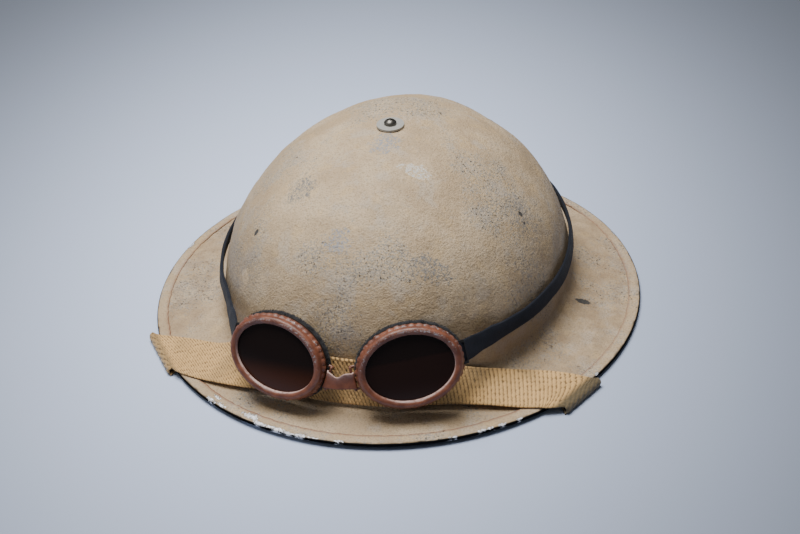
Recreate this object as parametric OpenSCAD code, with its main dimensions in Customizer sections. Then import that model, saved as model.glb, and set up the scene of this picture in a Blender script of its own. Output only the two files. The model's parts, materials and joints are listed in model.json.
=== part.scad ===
// Pressed-steel helmet with a wide brim, its liner, its webbing chinstrap laid over the front of
// the brim, and a pair of dust goggles on an elastic headband.
// Millimetres. +Z is up, the front faces -Y, and the origin is on the surface that the helmet
// stands on, under the middle of its outline.

/* [Shell] */
// Width of the brim from side to side
brim_w = 292; // [286:1:298]
// Length of the brim from front to back
brim_l = 302; // [298:1:308]
// Width of the dome where it meets the brim
dome_w = 205; // [203:1:207]
// Length of the dome where it meets the brim
dome_l = 240; // [238:1:242]
// How far the dome sits behind the middle of the brim
dome_shift = 3.5; // [3:0.5:4]
// Height of the crown above the surface
crown_h = 115; // [115:0.5:117]
// Thickness of the shell's steel
shell_t = 1.1; // [0.9:0.1:1.1]
// Width of the folded steel band round the rim
rim_band_w = 7; // [6:0.5:8]

/* [Webbing] */
// Thickness of the chinstrap's webbing
web_t = 1.4; // [1.2:0.1:1.4]
// Height of the goggles' headband
headband_w = 9; // [8:0.5:10]
// Thickness of the goggles' headband
headband_t = 2.4; // [2:0.2:2.4]

/* [Goggles] */
// Half the width of the lens opening
lens_a = 24.6; // [24.4:0.2:24.8]
// Half the height of the lens opening
lens_b = 18.2; // [18:0.2:18.4]
// Lean of the goggles, top towards the dome
goggle_lean = 20; // [19:0.5:20.5]
// Slant of each lens opening, temple end up
goggle_slant = 10; // [9:0.5:11]

/* [Liner] */
// Inside width of the sweatband
head_w = 164; // [160:1:164]
// Inside length of the sweatband
head_l = 200; // [196:1:200]

/* [Hidden] */

// Shell: the dome's plan is an ellipse at every height, and its profile is a superellipse whose
// fullness differs from side to front.
seg = 60;
dome_a = dome_w / 2;
dome_b = dome_l / 2;
rim_a = brim_w / 2;
rim_b = brim_l / 2;
wall_z = 17.5;
full_x = 2 / 1.65;
full_y = 2 / 2;
full_z = 2 / 2.2;
flare_r = 10;
flare_end = 78;
crown_hole_r = 2.6;
dome_steps = [85, 79, 72, 65, 57, 49, 41, 33, 25, 17, 10, 4, 0];
flare_steps = [22, 42, 60, 78];
brim_steps = [0.3, 0.6, 0.82, 1];

// The rim lies in a plane that rises to the front, so that the strap's folds pass under it.
rim_rise = 0.0076;
band_t = 0.6;
gap = 0.05;
rim_inset = 0.7;
brim_top = band_t + gap + shell_t;
flare_slope = -6.4;
edge_slope = -2.1;

// Crown fittings, from the top down
screw_r = 2.1;
screw_head_r = 3.6;
washer_r = 8;
washer_t = 1.2;
strap_t = 1.5;
liner_w = 25;
long_top = crown_h - 3;
cross_top = long_top - strap_t - 0.6;
pad_top = cross_top - strap_t - 0.5;
pad_t = 5;
pad_r = 28;
inner_washer_top = pad_top - pad_t - gap;
inner_washer_t = 1.2;
nut_top = inner_washer_top - inner_washer_t - gap;
nut_t = 3.2;
screw_end = nut_top - nut_t - 1;

// Liner
band_wall = 2;
leather_t = 1.8;
sweat_a = head_w / 2;
sweat_b = head_l / 2;
band_in = leather_t + 0.1;
band_out = band_in + band_wall;
band_low = 18;
band_high = 42;
sweat_low = 14;
sweat_high = 42;
arch_low = 20;
arch_base = 40;
rivet_z = 26;
tongue_mid = 2.6;
tongue_rise = 49;
tongue_end = 84;
tongue_half = 14;
tip_half = 2.5;
tip_r = 17;
lace_t = 2.4;

// Strap lugs and loops: the loop's wire turns in the lug's tube.
lug_at = [82, -12, 5];
lug_turn = 25.5;
wire_r = 1.2;
loop_half = 16;
loop_reach = 14;
tube_half = 8;

// Goggles: each eyepiece has its own frame, x' along the lens, y' up it and z' out of it.
left_at = [-37.4, -123.4, 36];
left_yaw = -13;
right_at = [38.3, -121.6, 37.7];
right_yaw = 16.6;
eye_seg = 40;
wire_x = lens_a + 7.2;
wire_z = -4.5;
flange_z = -6.3;
bridge_wire_r = 0.8;
roll_r = 1.9;
bridge_half = 5;
wire_half = 6.4;

// Headband: its middle line, as angles round the dome and heights
headband_gap = 1.5;
headband_stand = headband_gap + headband_t / 2;

// ---- Shell ----

// Height share of the dome at profile angle u, and its semi-axes there
function dome_z(u) = wall_z + (crown_h - wall_z) * pow(sin(u), full_z);
function dome_ax(u) = dome_a * pow(cos(u), full_x);
function dome_by(u) = dome_b * pow(cos(u), full_y);

// Outward normal of the profile, as [radial, up]
function dome_normal(u) =
    let(r = (crown_h - wall_z) * full_z * pow(sin(max(u, 0.5)), full_z - 1) * cos(u),
        up = (dome_a + dome_b) / 2 * pow(cos(u), 0.1) * sin(u))
    [r, up] / norm([r, up]);

function dome_point(u, a, in) =
    let(n = dome_normal(u))
    [(dome_ax(u) - in * n[0]) * cos(a),
     dome_shift + (dome_by(u) - in * n[0]) * sin(a),
     dome_z(u) - in * n[1]];

function flare_point(t, a, in) =
    let(r = flare_r - (flare_r + in) * cos(t))
    [(dome_a + r) * cos(a), dome_shift + (dome_b + r) * sin(a), wall_z - (flare_r + in) * sin(t)];

// Plan position and height of the brim's upper face, q from the flare (0) to the rim (1)
function rim_xy(a, inset) = [(rim_a - inset) * cos(a), (rim_b - inset) * sin(a)];
function flare_xy(a) =
    let(p = flare_point(flare_end, a, 0)) [p[0], p[1]];
function rim_height(y) = rim_rise * (rim_b - y);
function brim_xy(q, a) = flare_xy(a) * (1 - q) + rim_xy(a, rim_inset) * q;
function brim_z(q, a) =
    let(z1 = wall_z - flare_r * sin(flare_end),
        z2 = brim_top + rim_height(rim_xy(a, rim_inset)[1]))
    z1 + flare_slope * (q - 2 * q * q + pow(q, 3)) + (z2 - z1) * (3 * q * q - 2 * pow(q, 3))
    + edge_slope * (pow(q, 3) - q * q);
function brim_point(q, a, in) =
    let(p = brim_xy(q, a)) [p[0], p[1], brim_z(q, a) - in];
function brim_length(a) = norm(rim_xy(a, rim_inset) - flare_xy(a));

function shell_ring(k, in) =
    let(nd = len(dome_steps), nf = len(flare_steps))
    [for (i = [0:seg - 1])
        let(a = 360 * i / seg)
        k == 0 ? [crown_hole_r * cos(a), dome_shift + crown_hole_r * sin(a), crown_h - in]
        : k <= nd ? dome_point(dome_steps[k - 1], a, in)
        : k <= nd + nf ? flare_point(flare_steps[k - nd - 1], a, in)
        : brim_point(brim_steps[k - nd - nf - 1], a, in)];

// Closed solid from rings of equal length, joined in order and back to the first
module ring_loft(rings) {
    n = len(rings[0]);
    m = len(rings);
    points = [for (r = rings) each r];
    faces = [for (j = [0:m - 1]) for (i = [0:n - 1])
        let(a = j * n + i, b = j * n + (i + 1) % n,
            c = ((j + 1) % m) * n + (i + 1) % n, d = ((j + 1) % m) * n + i)
        each [[a, b, c], [a, c, d]]];
    polyhedron(points, faces, convexity = 10);
}

// Closed bar from sections of equal length, capped at both ends
module bar_loft(sections) {
    n = len(sections[0]);
    m = len(sections);
    points = [for (s = sections) each s];
    sides = [for (j = [0:m - 2]) for (i = [0:n - 1])
        let(a = j * n + i, b = j * n + (i + 1) % n, c = (j + 1) * n + (i + 1) % n, d = (j + 1) * n + i)
        each [[a, b, c], [a, c, d]]];
    first = [for (i = [1:n - 2]) [0, i + 1, i]];
    last = [for (i = [1:n - 2]) [(m - 1) * n, (m - 1) * n + i, (m - 1) * n + i + 1]];
    polyhedron(points, concat(sides, first, last), convexity = 10);
}

module shell() {
    last = len(dome_steps) + len(flare_steps) + len(brim_steps);
    outer = [for (k = [0:last]) shell_ring(k, 0)];
    inner = [for (k = [last:-1:0]) shell_ring(k, shell_t)];
    color("tan") ring_loft(concat(outer, inner));
}

// The band's section at angle a: a top leg on the brim, the rim's edge and a flat lower leg
function band_section(a) =
    let(q1 = 1 - rim_band_w / brim_length(a), q2 = 1 - 5 / brim_length(a),
        up = gap + band_t, top = brim_top + up,
        p1 = brim_xy(q1, a), p2 = brim_xy(q2, a), pe = rim_xy(a, rim_inset - 0.05),
        o1 = rim_xy(a, 0), o2 = rim_xy(a, 0.5),
        z1 = brim_z(q1, a), z2 = brim_z(q2, a), ze = brim_z(1, a), h = rim_height(o1[1]))
    [[p1[0], p1[1], z1 + up],
     [o2[0], o2[1], h + top],
     [o1[0], o1[1], h + top - 0.6],
     [o1[0], o1[1], h + 0.5],
     [o2[0], o2[1], rim_height(o2[1])],
     [p2[0], p2[1], rim_height(p2[1])],
     [p2[0], p2[1], z2 - shell_t - gap],
     [pe[0], pe[1], ze - shell_t - gap],
     [pe[0], pe[1], ze + gap],
     [p1[0], p1[1], z1 + gap]];

module rim_band() {
    sections = [for (i = [0:seg - 1]) band_section(360 * i / seg)];
    color("tan") ring_loft([for (k = [0:9]) [for (s = sections) s[k]]]);
}

// ---- Crown fittings ----

module on_axis() translate([0, dome_shift, 0]) children();

module crown_screw() {
    color("gray") on_axis() difference() {
        union() {
            translate([0, 0, screw_end])
                cylinder(h = crown_h + washer_t + 0.2 - screw_end, r = screw_r, $fn = 32);
            translate([0, 0, crown_h + washer_t + 0.1]) rotate_extrude($fn = 48)
                intersection() {
                    translate([0, -1.4]) circle(r = 4.4, $fn = 48);
                    square([screw_head_r, 5]);
                }
        }
        translate([-5, -0.45, crown_h + washer_t + 2.1]) cube([10, 0.9, 3]);
    }
}

module disc(r, t, top, bore) {
    on_axis() translate([0, 0, top - t]) difference() {
        cylinder(h = t, r = r, $fn = 64);
        translate([0, 0, -1]) cylinder(h = t + 2, r = bore, $fn = 32);
    }
}

module crown_washer() { color("dimgray") disc(washer_r, washer_t, crown_h + washer_t + gap, screw_r + 0.1); }

// Pad dished to follow the straps above it; its lower face is flat round the screw
module crown_pad() {
    drop = pad_top - pad_t;
    color("saddlebrown") on_axis() rotate_extrude($fn = 64)
        polygon([[screw_r + 0.3, pad_top], [8, pad_top - 0.8], [16, pad_top - 2.4],
                 [24, pad_top - 4.6], [pad_r, pad_top - 6], [pad_r, drop - 4],
                 [24, drop - 3], [12, drop], [screw_r + 0.3, drop]]);
}

module crown_inner_washer() {
    color("dimgray") disc(10, inner_washer_t, inner_washer_top, screw_r + 0.1);
}

module crown_nut() {
    color("gray") on_axis() translate([0, 0, nut_top - nut_t]) difference() {
        cylinder(h = nut_t, r = 4, $fn = 6);
        translate([0, 0, -1]) cylinder(h = nut_t + 2, r = screw_r + 0.02, $fn = 32);
    }
}

// ---- Liner ----

// Oval ring wall between two offsets from the sweatband's inside face
function oval(a, b, n) = [for (i = [0:n - 1]) [a * cos(360 * i / n), b * sin(360 * i / n)]];

module oval_wall(from, to, low, high) {
    on_axis() translate([0, 0, low]) linear_extrude(high - low) difference() {
        polygon(oval(sweat_a + to, sweat_b + to, 72));
        polygon(oval(sweat_a + from, sweat_b + from, 72));
    }
}

module rivet_holes(r) {
    on_axis() for (t = [0:3]) rotate([0, 0, 90 * t]) translate([0, 0, rivet_z])
        rotate([0, 90, 0]) translate([0, 0, 60]) cylinder(h = 60, r = r, $fn = 24);
}

module sweatband() { color("sienna") oval_wall(0, leather_t, sweat_low, sweat_high); }

module liner_band() {
    color("black") difference() {
        oval_wall(band_in, band_out, band_low, band_high);
        rivet_holes(1.6);
    }
}

// Arch that runs up outside the band and under the crown; reach is its half span
function arch_line(reach, top, full) =
    concat([[reach, arch_low]],
           [for (u = [0, 3, 9, 18, 27, 36, 45, 54, 63, 72, 81, 90]) [reach * pow(cos(u), full), arch_base + (top - strap_t / 2 - arch_base)
                                * pow(sin(u), full_z)]]);

function arch_outline(reach, top, full) =
    let(line = arch_line(reach, top, full), n = len(line),
        whole = concat(line, [for (i = [n - 2:-1:0]) [-line[i][0], line[i][1]]]), m = len(whole),
        side = [for (i = [0:m - 1])
            let(d = whole[min(i + 1, m - 1)] - whole[max(i - 1, 0)]) [d[1], -d[0]] / norm(d) * strap_t / 2])
    concat(whole + side, [for (i = [m - 1:-1:0]) whole[i] - side[i]]);

module arch(reach, top, full) {
    rotate([90, 0, 0]) linear_extrude(liner_w, center = true) polygon(arch_outline(reach, top, full));
}

module strap_holes() {
    on_axis() translate([0, 0, 90]) cylinder(h = 40, r = screw_r + 0.2, $fn = 32);
    rivet_holes(1.6);
}

module liner_strap_long() {
    color("dimgray") difference() {
        on_axis() rotate([0, 0, 90]) arch(sweat_b + band_out + 0.15 + strap_t / 2, long_top, full_y);
        strap_holes();
    }
}

module liner_strap_cross() {
    color("dimgray") difference() {
        on_axis() arch(sweat_a + band_out + 0.15 + strap_t / 2, cross_top, full_x);
        strap_holes();
    }
}

module liner_rivets() {
    color("silver") on_axis() for (t = [0:3]) {
        reach = (t % 2 == 0 ? sweat_a : sweat_b) + band_in;
        rotate([0, 0, 90 * t]) translate([0, 0, rivet_z]) rotate([0, 90, 0]) {
            translate([0, 0, reach + 0.4]) cylinder(h = 4.2, r = 1.55, $fn = 24);
            translate([0, 0, reach + band_wall + strap_t + 0.6]) rotate_extrude($fn = 32)
                polygon([[0, 0], [3.5, 0], [3.2, 0.7], [2, 1.2], [0, 1.4]]);
        }
    }
}

// Buffers fill the gap between the liner's band and the shell's wall.
module rubber_buffers() {
    z = 33;
    color("darkslategray") on_axis() for (a = [38, 142, 218, 322]) {
        from = [(sweat_a + band_out) * cos(a), (sweat_b + band_out) * sin(a)];
        to = [(dome_a - shell_t) * cos(a), (dome_b - shell_t) * sin(a)] * 0.985;
        way = to - from;
        translate([from[0], from[1], z]) rotate([0, 0, atan2(way[1], way[0])]) rotate([0, 90, 0])
            translate([0, 0, 0.7]) difference() {
                cylinder(h = norm(way) - 1.9, r = 7, $fn = 40);
                translate([0, 0, -1]) cylinder(h = norm(way) + 2, r = 3, $fn = 32);
            }
    }
}

// Six leatherette tongues curve from the band's top to the lace, which runs through their tips.
function tongue_in(u) = pow(cos(u), 1.2);
function tongue_axes(u) =
    [for (s = [sweat_a, sweat_b]) (s + tongue_mid) * tongue_in(u) + tip_r * (1 - tongue_in(u))];
function tongue_z(u) = band_high + 0.1 + tongue_rise * sin(u);
function tongue_section(a, u) =
    let(half = tongue_half * tongue_in(u) + tip_half, r = tongue_axes(u),
        c = [r[0] * cos(a), r[1] * sin(a)], side = [-sin(a), cos(a)],
        n = [cos(a) * cos(u), sin(a) * cos(u), sin(u)] * 0.5)
    [for (s = [[-1, -1], [1, -1], [1, 1], [-1, 1]])
        [c[0] + side[0] * half * s[0], c[1] + side[1] * half * s[0], tongue_z(u)] + n * s[1]];

module liner_tongues() {
    color("#2b2622") on_axis() for (a = [30:60:330])
        bar_loft([for (u = [0:12:tongue_end]) tongue_section(a, u)]);
}

module drawlace() {
    r = tongue_axes(tongue_end - 6);
    z = tongue_z(tongue_end - 6);
    color("burlywood") on_axis() ring_loft([for (t = [0:-45:-315]) [for (i = [0:seg - 1])
        let(a = 360 * i / seg, off = lace_t / 2 * cos(t))
        [(r[0] + off) * cos(a), (r[1] + off) * sin(a), z + lace_t / 2 * sin(t)]]]);
}

// ---- Chinstrap and its lugs ----

module at_lug(side) {
    mirror([side < 0 ? 1 : 0, 0, 0]) translate(lug_at) rotate([0, 0, lug_turn]) children();
}

module lug(side) {
    at_lug(side) difference() {
        union() {
            rotate([0, 90, 0]) cylinder(h = 2 * tube_half, r = wire_r + 1.3, center = true, $fn = 32);
            translate([-6, -1.2, 1.6]) cube([12, 2.4, 6]);
        }
        rotate([0, 90, 0]) cylinder(h = 40, r = wire_r + 0.08, center = true, $fn = 32);
    }
    mirror([side < 0 ? 1 : 0, 0, 0]) difference() {
        hull() {
            translate([96.8, -14, 9.6]) cube([1.6, 14, 3]);
            translate([78, -14.5, 9.6]) cube([4, 5, 3]);
        }
        translate([60, -30, 12.2]) cube([60, 60, 5]);
    }
    mirror([side < 0 ? 1 : 0, 0, 0]) translate([96.8, -14, 9.6]) cube([1.6, 14, 24]);
}

module lug_left() { color("darkolivegreen") lug(-1); }
module lug_right() { color("darkolivegreen") lug(1); }

// Rectangular wire loop: one bar in the lug's tube, the other in the strap's eye
module strap_loop(side) {
    at_lug(side) {
        for (y = [0, -loop_reach]) translate([0, y, 0]) rotate([0, 90, 0])
            cylinder(h = 2 * loop_half, r = wire_r, center = true, $fn = 32);
        for (x = [-loop_half, loop_half]) translate([x, -loop_reach, 0]) {
            rotate([-90, 0, 0]) cylinder(h = loop_reach, r = wire_r, $fn = 32);
            for (y = [0, loop_reach]) translate([0, y, 0]) sphere(r = wire_r, $fn = 32);
        }
    }
}

module strap_loop_left() { color("silver") strap_loop(-1); }
module strap_loop_right() { color("silver") strap_loop(1); }

// The strap is a ribbon given by its two edges. On the brim its rear edge comes first, and round
// each fold it turns under the rim and runs back to its loop. Each station is [rear, front].
strap_front = [
    [[-127.2, -73.3, 5.1], [-103.7, -106.9, 5.3]],
    [[-109, -75.5, 6.8], [-89.5, -111.5, 6.3]],
    [[-87, -82.5, 10.5], [-71.4, -115.8, 7.5]],
    [[-70, -90.5, 20], [-55.4, -118.4, 8.8]],
    [[-48, -103.5, 30], [-36, -118.5, 9.4]],
    [[-24, -113.2, 34.5], [-18, -122.6, 9.6]],
    [[0, -117, 35.5], [0, -124, 9.8]],
    [[24, -114.6, 34.5], [20, -123, 9.9]],
    [[46, -104.4, 30], [40, -118, 9.4]],
    [[66, -90.8, 19.5], [60, -112.6, 9.1]],
    [[84, -78, 11.2], [76, -109, 7.6]],
    [[100, -72, 7.8], [92, -105.8, 6]],
    [[117, -70.3, 6.4], [106, -102.5, 5.6]],
    [[129, -70.2, 5.1], [109.5, -101.8, 5.2]]
];
fold_left = [[-134.1, -72.4], [-110.6, -104.6]];
fold_right = [[134.6, -70.2], [120.3, -99.7]];
under_left = [[[-126, -56, 0.76], [-101, -79, 0.76]], [[-120, -36, 1.4], [-92, -46, 1.2]]];
under_right = [[[124, -54, 0.76], [107, -78, 0.76]]];
fold_r = 2.1;
fold_mid = [4.7, 0.76];
eye_r = 3.2;
eye_steps = [0, 45, 90, 135, 180, 225, 270];

// Fold: half a turn about the line between its two corners, from the top layer to the lower one
function fold_stations(corners, side) =
    let(along = (corners[1] - corners[0]) / norm(corners[1] - corners[0]),
        out = [-along[1], along[0]] * side)
    [for (t = [90:-45:-90])
        let(z = (fold_mid[0] + fold_mid[1]) / 2 + (fold_mid[0] - fold_mid[1]) / 2 * sin(t),
            r = fold_r * (cos(t) - 1))
        [for (c = corners) [c[0] + out[0] * r, c[1] + out[1] * r, z]]];

// Eye round the loop's outer bar, then the end laid back on the strap
function eye_point(x, y, z, side) =
    [side * (lug_at[0] + x * cos(lug_turn) - y * sin(lug_turn)),
     lug_at[1] + x * sin(lug_turn) + y * cos(lug_turn), lug_at[2] + z];
function eye_stations(side) =
    concat(
        [for (t = eye_steps)
            [for (x = [13.5, -13.5])
                eye_point(x, -loop_reach + eye_r * sin(t), -eye_r * cos(t), side)]],
        [for (p = [[-7, 0.4], [-12, -1.1], [-22, -1.4]])
            [for (x = [13.5, -13.5]) eye_point(x, -loop_reach + p[0], p[1], side)]]);

strap_stations = concat(
    [for (i = [len(eye_stations(-1)) - 1:-1:0]) eye_stations(-1)[i]],
    [for (i = [len(under_left) - 1:-1:0]) under_left[i]],
    [for (i = [4:-1:0]) fold_stations(fold_left, -1)[i]],
    strap_front,
    fold_stations(fold_right, 1),
    under_right,
    eye_stations(1));

// Corners of the ribbon's section at station i, half its thickness to each side
function ribbon_section(stations, i, t) =
    let(m = len(stations), mid = [for (s = stations) (s[0] + s[1]) / 2],
        ahead = mid[min(i + 1, m - 1)] - mid[max(i - 1, 0)],
        across = stations[i][1] - stations[i][0], n = cross(across, ahead),
        h = n / norm(n) * t / 2)
    [stations[i][0] - h, stations[i][1] - h, stations[i][1] + h, stations[i][0] + h];

module chinstrap() {
    color("darkkhaki")
        bar_loft([for (i = [0:len(strap_stations) - 1]) ribbon_section(strap_stations, i, web_t)]);
}

// ---- Goggles ----

module eye_frame(at, yaw, nose) {
    translate(at) rotate([0, 0, yaw]) rotate([90 - goggle_lean, 0, 0])
        rotate([0, 0, -nose * goggle_slant]) children();
}
module left_eye() eye_frame(left_at, left_yaw, 1) children();
module right_eye() eye_frame(right_at, right_yaw, -1) children();

// Oval at a constant distance outside the lens opening
function eye_oval(off, z) =
    [for (i = [0:eye_seg - 1])
        let(t = 360 * i / eye_seg, n = [lens_b * cos(t), lens_a * sin(t)], u = n / norm(n))
        [lens_a * cos(t) + u[0] * off, lens_b * sin(t) + u[1] * off, z]];
function flat_oval(off) = [for (p = eye_oval(off, 0)) [p[0], p[1]]];

// Ring round the eyepiece from a section given as [offset, z']
module eye_ring(section) { ring_loft([for (p = section) eye_oval(p[0], p[1])]); }

module eye_wall(from, to, back, front) {
    translate([0, 0, back]) linear_extrude(front - back) difference() {
        polygon(flat_oval(to));
        polygon(flat_oval(from));
    }
}

module goggle_rim() {
    eye_ring([[0, -0.2], [0.3, 1], [1.4, 2], [2.8, 2.2], [4.1, 1.4], [4.9, 0], [4.9, -5.5],
              [4.2, -5.5], [4.2, -0.2]]);
}

module lens() { translate([0, 0, -2.35]) linear_extrude(2.1) polygon(flat_oval(3.8)); }

module lens_retainer() { eye_wall(0.4, 4.1, -3.45, -2.4); }

// Cup wall with a flange and a slotted tab for the headband. nose is 1 where the nose is on the
// +x' side.
module eyecup(nose) {
    eye_wall(2, 3.3, -9, -3.5);
    eye_wall(2.5, 4.9, flange_z - 0.6, flange_z + 0.65);
    difference() {
        translate([-nose * (lens_a + 5.3), 0, flange_z]) cube([3.6, 13.6, 1.2], center = true);
        translate([-nose * (lens_a + 5.9), 0, flange_z]) cube([1.4, 10.8, 4], center = true);
    }
}

module face_cushion() {
    eye_ring([[3.5, -7.1], [4.9, -7.5], [5, -8.9], [4.2, -10], [2.4, -10.2], [0.8, -9.8], [0.6, -8],
              [1.8, -7.5], [1.8, -9.1], [3.5, -9.1]]);
}

// Wire staple on the eyecup's flange: the end of the bridge is rolled round its upright.
module bridge_wire(nose) {
    translate([nose * wire_x, 0, wire_z]) rotate([90, 0, 0])
        cylinder(h = 2 * wire_half, r = bridge_wire_r, center = true, $fn = 24);
    for (y = [-wire_half, wire_half]) {
        translate([nose * wire_x, y, flange_z]) cylinder(h = wire_z - flange_z, r = bridge_wire_r, $fn = 24);
        for (z = [flange_z, wire_z]) translate([nose * wire_x, y, z]) sphere(r = bridge_wire_r, $fn = 24);
        translate([nose * (wire_x - 2.4), y, flange_z]) rotate([0, 90 * nose, 0])
            cylinder(h = 2.4, r = bridge_wire_r, $fn = 24);
    }
}

module bridge_roll(nose) {
    translate([nose * wire_x, 0, wire_z]) rotate([90, 0, 0]) difference() {
        cylinder(h = 2 * bridge_half, r = roll_r, center = true, $fn = 32);
        cylinder(h = 40, r = bridge_wire_r + 0.05, center = true, $fn = 24);
    }
}

// World position of a point in an eyepiece's frame
function in_world(at, yaw, nose, p) =
    let(c = cos(goggle_slant), s = -nose * sin(goggle_slant),
        x = p[0] * c - p[1] * s, up = p[0] * s + p[1] * c,
        y = up * sin(goggle_lean) - p[2] * cos(goggle_lean),
        z = up * cos(goggle_lean) + p[2] * sin(goggle_lean))
    at + [x * cos(yaw) - y * sin(yaw), x * sin(yaw) + y * cos(yaw), z];

// The bridge's sheet bows forward between its two rolled ends.
bridge_bow = [0, -1.6, 0];
function bridge_end(at, yaw, nose) =
    [for (y = [-bridge_half, bridge_half]) in_world(at, yaw, nose, [nose * (wire_x + 1.3), y, wire_z])];
bridge_left = bridge_end(left_at, left_yaw, 1);
bridge_right = bridge_end(right_at, right_yaw, -1);
bridge_stations = [for (t = [0:0.25:1])
    [for (k = [0, 1]) bridge_left[k] * (1 - t) + bridge_right[k] * t + bridge_bow * sin(180 * t)]];

module nose_bridge() {
    color("sienna") {
        left_eye() bridge_roll(1);
        right_eye() bridge_roll(-1);
        bar_loft([for (i = [0:4]) ribbon_section(bridge_stations, i, 1)]);
    }
}

module bridge_wire_left() { color("silver") left_eye() bridge_wire(1); }
module bridge_wire_right() { color("silver") right_eye() bridge_wire(-1); }

module goggle_rim_left() { color("sienna") left_eye() goggle_rim(); }
module lens_left() { color("#2a1208") left_eye() lens(); }
module lens_retainer_left() { color("gray") left_eye() lens_retainer(); }
module eyecup_left() { color("saddlebrown") left_eye() eyecup(1); }
module face_cushion_left() { color("#15161a") left_eye() face_cushion(); }
module goggle_rim_right() { color("sienna") right_eye() goggle_rim(); }
module lens_right() { color("#2a1208") right_eye() lens(); }
module lens_retainer_right() { color("gray") right_eye() lens_retainer(); }
module eyecup_right() { color("saddlebrown") right_eye() eyecup(-1); }
module face_cushion_right() { color("#15161a") right_eye() face_cushion(); }

// ---- Headband ----

// Profile angle of the dome at height z, and the point outside the dome there
function dome_u(z) = asin(pow((z - wall_z) / (crown_h - wall_z), 1 / full_z));
function outside_dome(a, z, off) =
    let(u = dome_u(z))
    [(dome_ax(u) + off) * cos(a), dome_shift + (dome_by(u) + off) * sin(a), z];
function headband_station(a, z) =
    [for (s = [-1, 1]) outside_dome(a, z + s * headband_w / 2, headband_stand)];

// Heights of the middle line, as [angle, height] from each eyepiece to the slider at the back
headband_left_line = [[216, 34], [204, 34], [190, 34], [176, 34.5], [160, 35.5], [144, 36.5], [128, 37.5],
                      [112, 38], [102, 38]];
headband_right_line = [[-37, 35], [-26, 34.5], [-12, 34], [2, 34], [18, 35], [34, 36], [50, 37], [66, 38],
                       [78, 38]];

// The ends run straight through the slider, which leans with the dome behind it.
slider_lean = 12;
slider_z = 38;
slider_y = dome_shift + dome_by(dome_u(slider_z)) + headband_stand;
function headband_in_slider(x) =
    [for (s = [-1, 1]) [x, slider_y, slider_z]
        + s * headband_w / 2 * [0, -sin(slider_lean), cos(slider_lean)]];
function headband_stations(start, line, side) =
    concat([start], [for (p = line) headband_station(p[0], p[1])],
           [for (x = [15, 0.5]) headband_in_slider(side * x)]);

function headband_end(at, yaw, side) =
    [for (y = [-5, 5]) in_world(at, yaw, -side, [side * (lens_a + 8), y, -9.4])];
headband_end_left = headband_end(left_at, left_yaw, -1);
headband_end_right = headband_end(right_at, right_yaw, 1);

module headband(start, line, side) {
    s = headband_stations(start, line, side);
    bar_loft([for (i = [0:len(s) - 1]) ribbon_section(s, i, headband_t)]);
}

module headband_left() { color("#1d2433") headband(headband_end_left, headband_left_line, -1); }
module headband_right() { color("#1d2433") headband(headband_end_right, headband_right_line, 1); }

// Slider buckle that joins the two ends at the back
module headband_slider() {
    color("dimgray") translate([0, slider_y, slider_z]) rotate([slider_lean, 0, 0]) difference() {
        cube([22, headband_t + 1.6, headband_w + 4], center = true);
        cube([40, headband_t + 0.4, headband_w + 0.6], center = true);
    }
}

shell();
rim_band();
crown_screw();
crown_washer();
crown_pad();
crown_inner_washer();
crown_nut();
liner_strap_long();
liner_strap_cross();
liner_band();
sweatband();
liner_tongues();
drawlace();
rubber_buffers();
liner_rivets();
lug_left();
lug_right();
strap_loop_left();
strap_loop_right();
chinstrap();
nose_bridge();
bridge_wire_left();
bridge_wire_right();
goggle_rim_left();
lens_left();
lens_retainer_left();
eyecup_left();
face_cushion_left();
goggle_rim_right();
lens_right();
lens_retainer_right();
eyecup_right();
face_cushion_right();
headband_left();
headband_right();
headband_slider();
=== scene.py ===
"""Pressed-steel helmet with a laid-over chinstrap and dust goggles: looks, in the CAD's frame.

Shapes are worked out in millimetres and stored in metres.
"""
import json
import math

import bpy
import numpy as np
from mathutils import Matrix, Vector


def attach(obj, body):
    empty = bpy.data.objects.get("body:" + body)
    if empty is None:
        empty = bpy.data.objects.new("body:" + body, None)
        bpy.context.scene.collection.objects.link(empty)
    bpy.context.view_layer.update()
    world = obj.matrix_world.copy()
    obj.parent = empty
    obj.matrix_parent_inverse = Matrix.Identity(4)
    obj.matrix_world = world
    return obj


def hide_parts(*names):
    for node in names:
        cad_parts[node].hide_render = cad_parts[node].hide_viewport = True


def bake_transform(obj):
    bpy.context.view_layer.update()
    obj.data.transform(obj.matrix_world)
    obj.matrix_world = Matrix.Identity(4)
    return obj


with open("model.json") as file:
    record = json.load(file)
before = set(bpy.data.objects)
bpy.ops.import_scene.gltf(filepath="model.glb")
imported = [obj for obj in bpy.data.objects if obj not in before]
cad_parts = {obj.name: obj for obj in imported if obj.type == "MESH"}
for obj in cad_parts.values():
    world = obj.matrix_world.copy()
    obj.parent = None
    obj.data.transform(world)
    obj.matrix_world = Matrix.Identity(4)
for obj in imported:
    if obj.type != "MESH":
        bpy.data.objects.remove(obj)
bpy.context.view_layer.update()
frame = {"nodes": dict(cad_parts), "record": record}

MM = 0.001
NODES = frame["nodes"]
SCENE = bpy.context.scene

# ---- Camera ----

CAM_AZ, CAM_EL, CAM_ROLL = 15.601, 33.26, -3.272
CAM_DIST, CAM_LENS = 1124.303, 81.468
CAM_AIM = (-5.046, 24.864, 2.867)


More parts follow.
